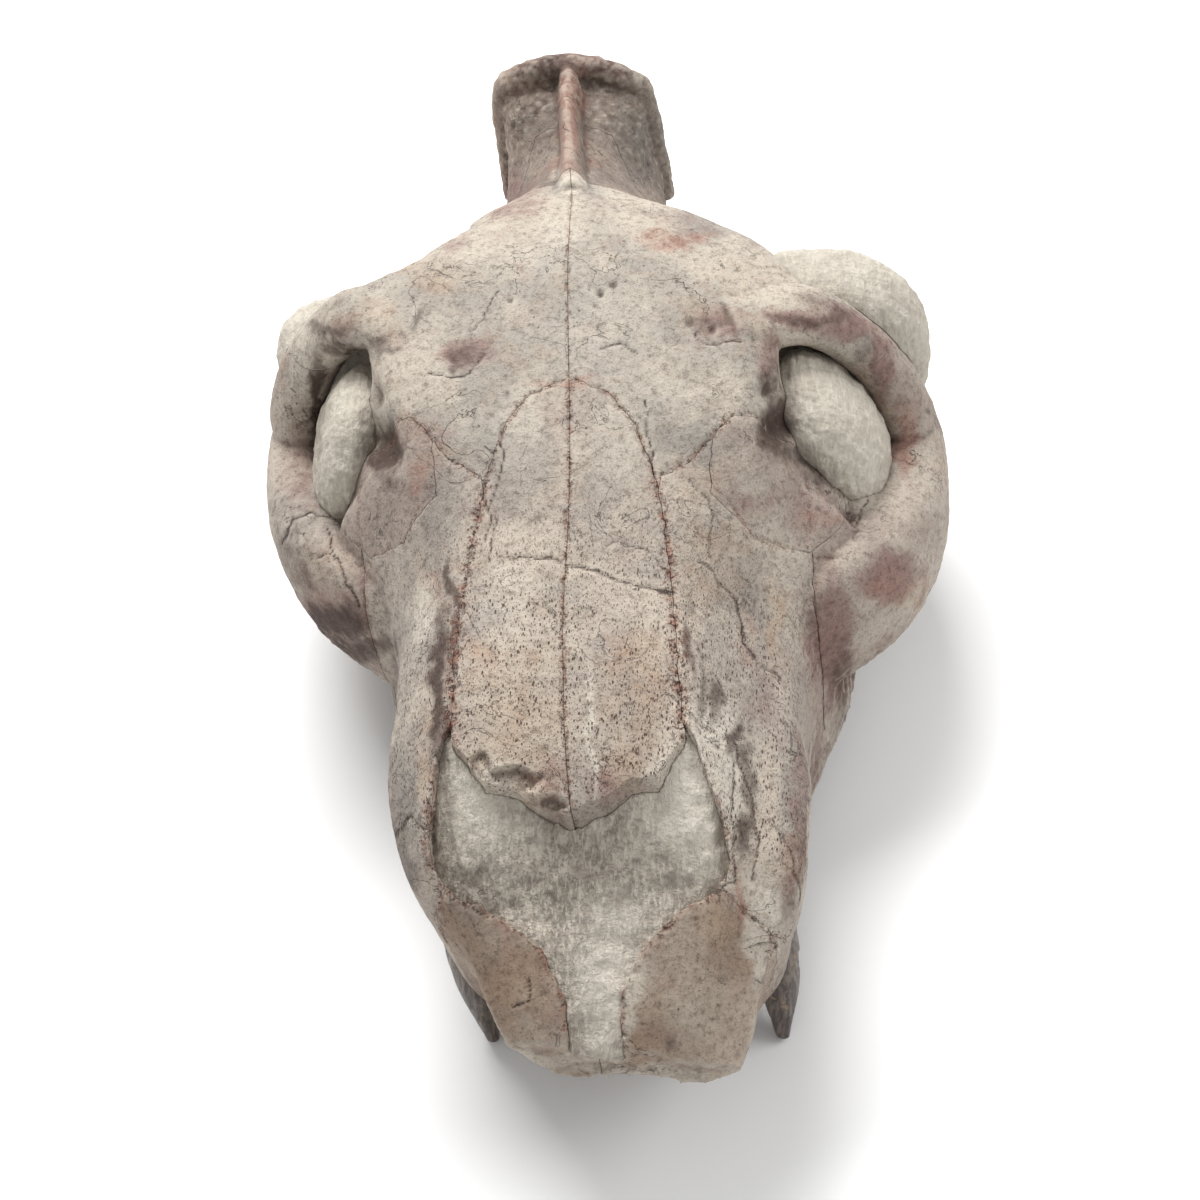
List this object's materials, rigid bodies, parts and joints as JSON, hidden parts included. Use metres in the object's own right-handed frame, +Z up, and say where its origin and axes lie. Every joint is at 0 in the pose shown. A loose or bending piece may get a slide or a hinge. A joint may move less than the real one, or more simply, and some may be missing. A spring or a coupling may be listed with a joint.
{
  "type": "fossil oreodont skull",
  "caption": "Life-size fossil skull of an oreodont without its lower jaw, resting on its canines, cheek teeth and the points behind the ears, with rock left in the nose and eye sockets",
  "frame": {"origin": "on the floor under the middle of the skull's footprint", "axes": "+Z up, snout towards -Y, +X the animal's left side"},
  "size_m": [0.1326, 0.2136, 0.075],
  "materials": {
    "pored_bone": "matt beige-grey fossil bone with fine pores",
    "grey_bone": "matt cream-grey fossil bone",
    "tan_bone": "smooth tan-brown fossil bone",
    "mauve_bone": "matt mauve and cream fossil bone",
    "dark_bone": "olive-grey and maroon fossil bone",
    "enamel": "dark streaked tooth enamel",
    "rock": "dull pale siltstone with tool scratches"
  },
  "bodies": {
    "root": {"nasal_left": "pored_bone", "frontal_left": "grey_bone", "premaxilla_left": "tan_bone", "lacrimal_left": "mauve_bone", "maxilla_left": "pored_bone", "jugal_left": "mauve_bone", "squamosal_left": "mauve_bone", "canine_left": "enamel", "temporal_rock_left": "rock", "orbit_rock_left": "rock", "nasal_right": "pored_bone", "frontal_right": "grey_bone", "premaxilla_right": "tan_bone", "lacrimal_right": "mauve_bone", "maxilla_right": "pored_bone", "jugal_right": "mauve_bone", "squamosal_right": "mauve_bone", "canine_right": "enamel", "temporal_rock_right": "rock", "orbit_rock_right": "rock", "nasal_rock": "rock", "occipital": "dark_bone", "braincase": "dark_bone"}
  },
  "joints": []
}
